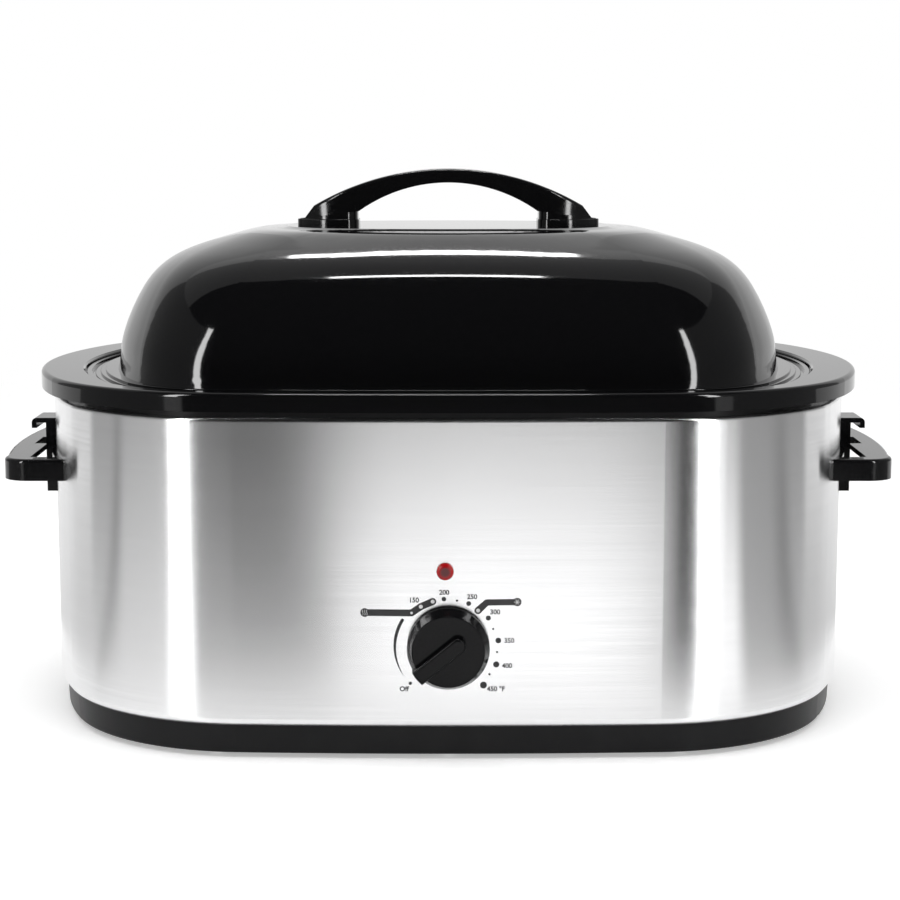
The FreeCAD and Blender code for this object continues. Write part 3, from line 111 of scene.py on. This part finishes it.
# Fans of cards: inner radius and height, outer radius and height, then azimuths from the front and levels
FANS = (("card_floor", (0.40, 0.002), (1.15, 0.002),
         ((-180, 1.0), (-100, 0.7), (-81, 0.65), (-77, 0.25), (-72, 0.85), (-50, 0.95), (-47, 1.5),
          (-39, 1.5), (-37, 0.55), (-26, 0.52), (-17, 0.34), (-14, 0.42), (-11, 1.3), (-6, 1.9), (2, 2.1),
          (14, 2.0), (21, 1.4), (26, 0.08), (37, 0.06), (40, 1.6), (51, 1.5), (56, 0.5), (70, 0.45),
          (78, 0.2), (84, 0.5), (100, 0.6), (180, 1.0))),
        ("card_far_floor", (1.15, 0.003), (3.2, 0.003),
         ((-100, 0.3), (-47, 0.3), (-46, 1.2), (-38, 1.2), (-37, 0.06), (37, 0.06), (38, 1.2), (46, 1.2),
          (47, 0.3), (100, 0.3))),
        ("card_wall", (3.2, 0.003), (3.2, 3.0),
         ((-170, 0.8), (-128, 0.8), (-126, 0.3), (-47, 0.3), (-46, 22.0), (-40, 22.0), (-39, 0.02),
          (33, 0.02), (34, 22.0), (39, 22.0), (40, 0.3), (126, 0.3), (128, 0.8), (170, 0.8))))
# Level cards overhead: x and y reach, height, level
CEILINGS = (("card_ceiling", (-3.2, 3.2), (-3.2, -0.25), 3.0, 0.02),
            ("card_ceiling_grey", (-3.2, 3.2), (-0.25, 2.05), 3.0, 0.5),
            ("card_strip_front", (-0.45, 0.36), (-0.30, -0.16), 2.9, 60.0),
            ("card_strip_back", (-0.55, 0.45), (2.05, 2.40), 2.9, 26.0))
AMBIENT = 0.5
FLOOR_RADIUS = 8.0
FLOOR_SIDES = 96
FLOOR_COLOUR = (0.93, 0.93, 0.93, 1.0)
FLOOR_ROUGHNESS = 0.8
FLOOR_SPECULAR = 0.1
FLOOR_NEAR = 0.8
FLOOR_FAR = 2.0
FLOOR_GLOW = 0.38


# Node helpers

def new_material(name):
    material = bpy.data.materials.new(name)
    material.use_nodes = True
    tree = material.node_tree
    return material, tree.nodes, tree.links, tree.nodes["Principled BSDF"]


def stretched(nodes, links, scale):
    """Object coordinates stretched by scale, in metres."""
    coords = nodes.new("ShaderNodeTexCoord")
    mapping = nodes.new("ShaderNodeMapping")
    mapping.inputs["Scale"].default_value = scale
    links.new(coords.outputs["Object"], mapping.inputs["Vector"])
    return mapping.outputs["Vector"]


def noise(nodes, links, vector, scale, detail, roughness=0.5):
    texture = nodes.new("ShaderNodeTexNoise")
    texture.inputs["Scale"].default_value = scale
    texture.inputs["Detail"].default_value = detail
    texture.inputs["Roughness"].default_value = roughness
    links.new(vector, texture.inputs["Vector"])
    return texture.outputs["Fac"]


def ramp(nodes, links, value, low, high, start=0.3, end=0.7):
    """Maps a value from start..end to low..high."""
    spread = nodes.new("ShaderNodeMapRange")
    spread.inputs["From Min"].default_value = start
    spread.inputs["From Max"].default_value = end
    spread.inputs["To Min"].default_value = low
    spread.inputs["To Max"].default_value = high
    links.new(value, spread.inputs["Value"])
    return spread.outputs["Result"]


def tint(nodes, links, value, dark, light):
    mix = nodes.new("ShaderNodeMix")
    mix.data_type = "RGBA"
    mix.inputs["A"].default_value = (*dark, 1.0)
    mix.inputs["B"].default_value = (*light, 1.0)
    links.new(value, mix.inputs["Factor"])
    return mix.outputs["Result"]


def bump(nodes, links, height, distance, shader, strength=1.0):
    node = nodes.new("ShaderNodeBump")
    node.inputs["Strength"].default_value = strength
    node.inputs["Distance"].default_value = distance
    links.new(height, node.inputs["Height"])
    links.new(node.outputs["Normal"], shader.inputs["Normal"])


def brushed_metal(name, dark, light, rough, grain, anisotropic):
    """Sheet metal with fine level brush lines."""
    material, nodes, links, shader = new_material(name)
    shader.inputs["Metallic"].default_value = 1.0
    shader.inputs["Anisotropic"].default_value = anisotropic
    shader.inputs["Anisotropic Rotation"].default_value = BRUSH_TURN
    tangent = nodes.new("ShaderNodeTangent")
    tangent.direction_type = "RADIAL"
    tangent.axis = "Z"
    links.new(tangent.outputs["Tangent"], shader.inputs["Tangent"])
    along, fine, coarse = grain
    lines = noise(nodes, links, stretched(nodes, links, (along, along, fine)), 1.0, 4.0, 0.6)
    broad = noise(nodes, links, stretched(nodes, links, (along, along, coarse)), 1.0, 3.0)
    colour = tint(nodes, links, ramp(nodes, links, lines, 0.0, 1.0), dark, light)
    links.new(colour, shader.inputs["Base Color"])
    links.new(ramp(nodes, links, broad, rough[0], rough[1]), shader.inputs["Roughness"])
    bump(nodes, links, lines, BRUSH_DEPTH, shader, BRUSH_STRENGTH)
    return material


def gloss(name, dark, light, rough, ripple, level=0.5):
    """Glossy enamel or moulding: faint mottle, slight ripple and fine dust in its roughness."""
    material, nodes, links, shader = new_material(name)
    shader.inputs["Specular IOR Level"].default_value = level
    wide = noise(nodes, links, stretched(nodes, links, EVEN), MOTTLE_SCALE, 2.0)
    fine = noise(nodes, links, stretched(nodes, links, EVEN), DUST_SCALE, 3.0)
    colour = tint(nodes, links, ramp(nodes, links, fine, 0.0, 1.0), dark, light)
    links.new(colour, shader.inputs["Base Color"])
    links.new(ramp(nodes, links, fine, rough[0], rough[1]), shader.inputs["Roughness"])
    bump(nodes, links, wide, ripple, shader, GLOSS_BUMP)
    return material


def grained(name, dark, light, rough, scale, depth, level=0.5):
    """Matt or satin surface with a fine moulded or woven grain."""
    material, nodes, links, shader = new_material(name)
    shader.inputs["Specular IOR Level"].default_value = level
    fine = noise(nodes, links, stretched(nodes, links, EVEN), scale, 4.0, 0.65)
    broad = noise(nodes, links, stretched(nodes, links, EVEN), scale / GRAIN_BROADER, 2.0)
    colour = tint(nodes, links, ramp(nodes, links, broad, 0.0, 1.0), dark, light)
    links.new(colour, shader.inputs["Base Color"])
    links.new(ramp(nodes, links, fine, rough[0], rough[1]), shader.inputs["Roughness"])
    bump(nodes, links, fine, depth, shader, GRAIN_BUMP)
    return material


def woven(name, dark, light, pitch):
    """Glass fibre cloth: two crossed sets of threads."""
    material, nodes, links, shader = new_material(name)
    vector = stretched(nodes, links, EVEN)
    total = None
    for direction in ("X", "Z"):
        wave = nodes.new("ShaderNodeTexWave")
        wave.bands_direction = direction
        wave.inputs["Scale"].default_value = math.tau / pitch / WAVE_BANDS
        wave.inputs["Distortion"].default_value = WAVE_DISTORTION
        links.new(vector, wave.inputs["Vector"])
        if total is None:
            total = wave.outputs["Fac"]
        else:
            join = nodes.new("ShaderNodeMath")
            join.operation = "MULTIPLY"
            links.new(total, join.inputs[0])
            links.new(wave.outputs["Fac"], join.inputs[1])
            total = join.outputs["Value"]
    links.new(tint(nodes, links, total, dark, light), shader.inputs["Base Color"])
    links.new(ramp(nodes, links, total, 0.95, 0.8), shader.inputs["Roughness"])
    bump(nodes, links, total, THREAD_DEPTH, shader)
    return material


def lens_material():
    """Clear red moulding with painted shade and painted light: dark red in the middle of its dome, lighter
    red towards the rim.
    """
    material, nodes, links, shader = new_material("red_lens")
    low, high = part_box("indicator_lens")
    centre = (low + high) / 2
    coords = nodes.new("ShaderNodeTexCoord")
    offset = nodes.new("ShaderNodeVectorMath")
    offset.operation = "DISTANCE"
    offset.inputs[1].default_value = (centre.x, low.y, centre.z)
    links.new(coords.outputs["Object"], offset.inputs[0])
    # Painted shade in the middle of the dome and painted light on its rim, set by distance from the dome's
    # centre
    share = ramp(nodes, links, offset.outputs["Value"], 0.0, 1.0, LENS_SHADE_CORE, LENS_LIT_EDGE)
    colour = tint(nodes, links, share, (0.10, 0.002, 0.004), (0.42, 0.003, 0.005))
    links.new(colour, shader.inputs["Base Color"])
    grain = noise(nodes, links, stretched(nodes, links, EVEN), LENS_GRAIN, 2.0)
    links.new(ramp(nodes, links, grain, 0.05, 0.12), shader.inputs["Roughness"])
    shader.inputs["Specular IOR Level"].default_value = 0.3
    return material


def print_material(name, dark, light):
    """Screen-printed ink with a slightly uneven body."""
    return grained(name, dark, light, (0.45, 0.6), 2500.0, 0.00001)


def build_materials():
    """The record's slots, and the knob's own darker gloss."""
    enamel = (0.003, 0.003, 0.0035), (0.005, 0.005, 0.0055)
    moulding = (0.004, 0.004, 0.0045), (0.007, 0.007, 0.0075)
    return {
        "black_enamel": gloss("black_enamel", *enamel, (0.05, 0.08), 0.00004, level=0.3),
        "brushed_steel": brushed_metal("brushed_steel", (0.80, 0.80, 0.805), (0.86, 0.86, 0.865),
                                       (0.20, 0.23), (5.0, 3600.0, 500.0), 1.0),
        "black_plastic": gloss("black_plastic", *moulding, (0.08, 0.14), 0.00003, level=0.3),
        "base_plastic": grained("base_plastic", *moulding, (0.32, 0.42), 1500.0, 0.00002, 0.15),
        "knob_plastic": gloss("knob_plastic", *enamel, (0.12, 0.18), 0.00003, level=0.1),
        "plated_steel": brushed_metal("plated_steel", (0.60, 0.60, 0.61), (0.74, 0.74, 0.75),
                                      (0.12, 0.22), (60.0, 900.0, 120.0), 0.3),
        "sheet_steel": brushed_metal("sheet_steel", (0.42, 0.43, 0.44), (0.56, 0.57, 0.58),
                                     (0.32, 0.48), (30.0, 500.0, 40.0), 0.4),
        "rubber": grained("rubber", (0.022, 0.022, 0.022), (0.034, 0.034, 0.033), (0.75, 0.9), 1200.0,
                          0.00008),
        "red_lens": lens_material(),
        "lamp_glass": gloss("lamp_glass", (0.80, 0.70, 0.62), (0.90, 0.82, 0.74), (0.05, 0.10), 0.00005),
        "ceramic": grained("ceramic", (0.78, 0.76, 0.70), (0.88, 0.86, 0.81), (0.55, 0.75), 900.0,
                           0.00004),
        "fibre": woven("fibre", (0.52, 0.49, 0.42), (0.84, 0.81, 0.73), 0.0022),
        "copper_tube": brushed_metal("copper_tube", (0.52, 0.26, 0.14), (0.72, 0.42, 0.27),
                                     (0.18, 0.34), (80.0, 300.0, 60.0), 0.2),
        "lead_sleeve": woven("lead_sleeve", (0.40, 0.40, 0.37), (0.62, 0.62, 0.58), 0.0009),
    }


def dress_nodes(materials):
    slots = {part["node"]: part["material_slot"] for part in frame["record"]["subparts"]}
    slots["knob"] = "knob_plastic"
    for name, node in frame["nodes"].items():
        material = materials[slots[name]]
        if not node.material_slots:
            node.data.materials.append(material)
        for slot in node.material_slots:
            slot.material = material


# Dial print

def face_point(x, z, lift):
    """Point on the shell's front face, from millimetres about the knob's axis."""
    bow = FACE_RADIUS - math.sqrt(FACE_RADIUS ** 2 - (x * MM) ** 2)
    return Vector((x * MM, bow - FACE_DEPTH - lift, KNOB_Z + z * MM))


def add_polygon(shape, points, lift):
    """Adds a flat filled outline, given anticlockwise as seen from the front."""
    vertices, faces = shape
    first = len(vertices)
    vertices.extend(face_point(x, z, lift) for x, z in points)
    faces.append(tuple(range(first, first + len(points))))


def disc(x, z, radius):
    turns = [math.tau * i / ROUND_SIDES for i in range(ROUND_SIDES)]
    return [(x + radius * math.cos(a), z + radius * math.sin(a)) for a in turns]


def bar(start, end):
    """Straight run between two circles of different radii."""
    along = Vector((end[0] - start[0], end[1] - start[1])).normalized()
    side = Vector((-along.y, along.x))
    return [(start[0] - side.x * start[2], start[1] - side.y * start[2]),
            (end[0] - side.x * end[2], end[1] - side.y * end[2]),
            (end[0] + side.x * end[2], end[1] + side.y * end[2]),
            (start[0] + side.x * start[2], start[1] + side.y * start[2])]


def add_chain(shape, spots, lift):
    for x, z, radius in spots:
        add_polygon(shape, disc(x, z, radius), lift)
    for start, end in zip(spots, spots[1:]):
        add_polygon(shape, bar(start, end), lift)


def crescent():
    """Tapering arc: thick at its top, a point at its foot."""
    first, last = CRESCENT_ANGLES
    outer, inner = [], []
    for i in range(CRESCENT_STEPS + 1):
        share = i / CRESCENT_STEPS
        angle = math.radians(first + (last - first) * share)
        half = CRESCENT_WIDTH / 2 * (1 - share ** 2)
        outer.append(((CRESCENT_RADIUS + half) * math.sin(angle), (CRESCENT_RADIUS + half) * math.cos(angle)))
        inner.append(((CRESCENT_RADIUS - half) * math.sin(angle), (CRESCENT_RADIUS - half) * math.cos(angle)))
    return outer, inner


def mesh_piece(name, shape, material):
    vertices, faces = shape
    mesh = bpy.data.meshes.new(name)
    mesh.from_pydata([tuple(v) for v in vertices], [], faces)
    mesh.materials.append(material)
    piece = bpy.data.objects.new(name, mesh)
    bpy.context.scene.collection.objects.link(piece)
    return piece


def add_crescent(shape):
    outer, inner = crescent()
    for i in range(CRESCENT_STEPS):
        add_polygon(shape, [outer[i], outer[i + 1], inner[i + 1], inner[i]], PRINT_LIFT)
    top = ((outer[0][0] + inner[0][0]) / 2, (outer[0][1] + inner[0][1]) / 2)
    add_polygon(shape, disc(*top, CRESCENT_WIDTH / 2), PRINT_LIFT)


def flake_strokes():
    x, z, radius = FLAKE
    strokes = []
    for i in range(FLAKE_ARMS):
        angle = math.tau * i / FLAKE_ARMS
        tip = (x + radius * math.cos(angle), z + radius * math.sin(angle), STROKE)
        strokes.append(((x, z, STROKE), tip))
    return strokes


def wave_strokes():
    strokes = []
    middle = WARM_BAR[0][1]
    for x in WAVES:
        line = []
        for i in range(WAVE_STEPS + 1):
            share = i / WAVE_STEPS
            swing = WAVE_SWING * math.sin(math.tau * share)
            line.append((x + swing, middle + (share - 0.5) * WAVE_HEIGHT, STROKE))
        strokes.append(line)
    return strokes


def label_mesh(text, x, z):
    """Flat letters as a mesh, in millimetres, centred on x, z."""
    curve = bpy.data.curves.new("label", "FONT")
    curve.body = text
    curve.size = LABEL_SIZE
    curve.align_x = "CENTER"
    curve.align_y = "CENTER"
    curve.resolution_u = LABEL_CURVE_STEPS
    curve.offset = LABEL_BOLD
    holder = bpy.data.objects.new("label", curve)
    mesh = bpy.data.meshes.new_from_object(holder)
    vertices = [face_point(x + v.co.x, z + v.co.y, PRINT_LIFT) for v in mesh.vertices]
    faces = [tuple(p.vertices) for p in mesh.polygons]
    bpy.data.objects.remove(holder)
    bpy.data.curves.remove(curve)
    bpy.data.meshes.remove(mesh)
    return vertices, faces


def build_print():
    ink = print_material("dial_ink", (0.010, 0.010, 0.011), (0.018, 0.018, 0.019))
    pale = print_material("dial_white", (0.80, 0.80, 0.80), (0.90, 0.90, 0.90))
    marks = ([], [])
    for x, z, radius in DOTS:
        add_polygon(marks, disc(x, z, radius), PRINT_LIFT)
    add_chain(marks, WARM_BAR, PRINT_LIFT)
    add_chain(marks, DEFROST_BAR, PRINT_LIFT)
    add_crescent(marks)
    whites = ([], [])
    for x, z, radius in WHITE_DOTS:
        add_polygon(whites, disc(x, z, radius), WHITE_LIFT)
    for line in flake_strokes() + wave_strokes():
        add_chain(whites, line, WHITE_LIFT)
    letters = ([], [])
    for text, x, z in LABELS:
        vertices, faces = label_mesh(text, x, z)
        first = len(letters[0])
        letters[0].extend(vertices)
        letters[1].extend(tuple(first + i for i in face) for face in faces)
    for name, shape, material in (("dial_marks", marks, ink), ("dial_numbers", letters, ink),
                                  ("dial_white_marks", whites, pale)):
        piece = mesh_piece(name, shape, material)
        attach(piece, "oven")


# Studio

def background_share(nodes, links):
    """1 for rays from the camera, a mirror or through glass, 0 for the rest."""
    path = nodes.new("ShaderNodeLightPath")
    total = path.outputs["Is Camera Ray"]
    for name in ("Is Glossy Ray", "Is Transmission Ray"):
        join = nodes.new("ShaderNodeMath")
        join.operation = "MAXIMUM"
        links.new(total, join.inputs[0])
        links.new(path.outputs[name], join.inputs[1])
        total = join.outputs["Value"]
    return total


def build_world():
    world = bpy.data.worlds.new("surround")
    bpy.context.scene.world = world
    world.use_nodes = True
    nodes = world.node_tree.nodes
    links = world.node_tree.links
    nodes["Background"].inputs["Strength"].default_value = AMBIENT
    nodes["Background"].inputs["Color"].default_value = (1.0, 1.0, 1.0, 1.0)
    white = nodes.new("ShaderNodeBackground")
    white.inputs["Color"].default_value = (1.0, 1.0, 1.0, 1.0)
    white.inputs["Strength"].default_value = 1.0
    mix = nodes.new("ShaderNodeMixShader")
    links.new(background_share(nodes, links), mix.inputs["Fac"])
    links.new(nodes["Background"].outputs["Background"], mix.inputs[1])
    links.new(white.outputs["Background"], mix.inputs[2])
    links.new(mix.outputs["Shader"], nodes["World Output"].inputs["Surface"])


def floor_material():
    """White floor that keeps the shadow near the object and turns plain white further out."""
    material, nodes, links, shader = new_material("pale_floor")
    shader.inputs["Base Color"].default_value = FLOOR_COLOUR
    shader.inputs["Roughness"].default_value = FLOOR_ROUGHNESS
    shader.inputs["Specular IOR Level"].default_value = FLOOR_SPECULAR
    glow = nodes.new("ShaderNodeEmission")
    glow.inputs["Color"].default_value = (1.0, 1.0, 1.0, 1.0)
    share = background_share(nodes, links)
    coords = nodes.new("ShaderNodeTexCoord")
    reach = nodes.new("ShaderNodeVectorMath")
    reach.operation = "LENGTH"
    links.new(coords.outputs["Object"], reach.inputs[0])
    far = ramp(nodes, links, reach.outputs["Value"], 0.0, 1.0, FLOOR_NEAR, FLOOR_FAR)
    shown = nodes.new("ShaderNodeMath")
    shown.operation = "MULTIPLY"
    links.new(share, shown.inputs[0])
    links.new(far, shown.inputs[1])
    near = nodes.new("ShaderNodeMath")
    near.operation = "MULTIPLY"
    near.inputs[1].default_value = FLOOR_GLOW
    links.new(share, near.inputs[0])
    soft = nodes.new("ShaderNodeEmission")
    soft.inputs["Color"].default_value = (1.0, 1.0, 1.0, 1.0)
    links.new(near.outputs["Value"], soft.inputs["Strength"])
    lit = nodes.new("ShaderNodeAddShader")
    links.new(shader.outputs["BSDF"], lit.inputs[0])
    links.new(soft.outputs["Emission"], lit.inputs[1])
    mix = nodes.new("ShaderNodeMixShader")
    links.new(shown.outputs["Value"], mix.inputs["Fac"])
    links.new(lit.outputs["Shader"], mix.inputs[1])
    links.new(glow.outputs["Emission"], mix.inputs[2])
    links.new(mix.outputs["Shader"], nodes["Material Output"].inputs["Surface"])
    return material


def build_floor():
    turns = [math.tau * i / FLOOR_SIDES for i in range(FLOOR_SIDES)]
    points = [(FLOOR_RADIUS * math.cos(a), FLOOR_RADIUS * math.sin(a), 0.0) for a in turns]
    floor = mesh_piece("floor", (points, [tuple(range(len(points)))]), floor_material())


def glow_material(name):
    """Glows at the level stored on each point of its mesh."""
    material, nodes, links, shader = new_material(name)
    level = nodes.new("ShaderNodeAttribute")
    level.attribute_name = "level"
    glow = nodes.new("ShaderNodeEmission")
    glow.inputs["Color"].default_value = (1.0, 1.0, 1.0, 1.0)
    links.new(level.outputs["Fac"], glow.inputs["Strength"])
    links.new(glow.outputs["Emission"], nodes["Material Output"].inputs["Surface"])
    return material


def card(name, vertices, faces, levels, material):
    """Card that shows in reflections, and in nothing else."""
    piece = mesh_piece(name, (vertices, faces), material)
    stored = piece.data.attributes.new("level", "FLOAT", "POINT")
    for i, level in enumerate(levels):
        stored.data[i].value = level
    piece.visible_camera = False
    piece.visible_diffuse = False
    piece.visible_shadow = False


def fan_stops(stops):
    """Azimuths at most a small step apart, with the level at each."""
    spots = []
    for (a0, v0), (a1, v1) in zip(stops, stops[1:]):
        count = max(1, math.ceil((a1 - a0) / FAN_STEP))
        spots.extend((a0 + (a1 - a0) * i / count, v0 + (v1 - v0) * i / count) for i in range(count))
    return spots + [stops[-1]]


def build_cards():
    material = glow_material("card_glow")
    for name, inner, outer, stops in FANS:
        vertices, faces, levels = [], [], []
        for azimuth, level in fan_stops(stops):
            angle = math.radians(azimuth)
            for radius, height in (inner, outer):
                vertices.append((radius * math.sin(angle), -radius * math.cos(angle), height))
                levels.append(level)
        for i in range(len(vertices) // 2 - 1):
            faces.append((2 * i, 2 * i + 2, 2 * i + 3, 2 * i + 1))
        card(name, vertices, faces, levels, material)
    for name, (x0, x1), (y0, y1), z, level in CEILINGS:
        corners = [(x0, y0, z), (x1, y0, z), (x1, y1, z), (x0, y1, z)]
        card(name, corners, [(0, 1, 2, 3)], [level] * len(corners), material)


def build_key():
    light = bpy.data.lights.new("key", "AREA")
    light.size = KEY_SIZE
    light.energy = KEY_POWER
    lamp = bpy.data.objects.new("key", light)
    lamp.location = KEY_PLACE
    lamp.rotation_euler = (Vector(KEY_PLACE) - Vector(AIM)).to_track_quat("Z", "Y").to_euler()
    lamp.visible_glossy = False
    bpy.context.scene.collection.objects.link(lamp)


def build_camera():
    data = bpy.data.cameras.new("camera")
    data.sensor_width = CAMERA_SENSOR
    data.lens = CAMERA_LENS
    data.shift_x = CAMERA_SHIFT
    camera = bpy.data.objects.new("camera", data)
    camera.location = (0.0, -CAMERA_DISTANCE, CAMERA_HEIGHT)
    camera.rotation_euler = (math.pi / 2 - CAMERA_PITCH, 0.0, 0.0)
    bpy.context.scene.collection.objects.link(camera)
    bpy.context.scene.camera = camera


build_camera()
build_world()
build_floor()
build_cards()
build_key()
dress_nodes(build_materials())
build_print()
bpy.context.scene.view_settings.view_transform = "Standard"
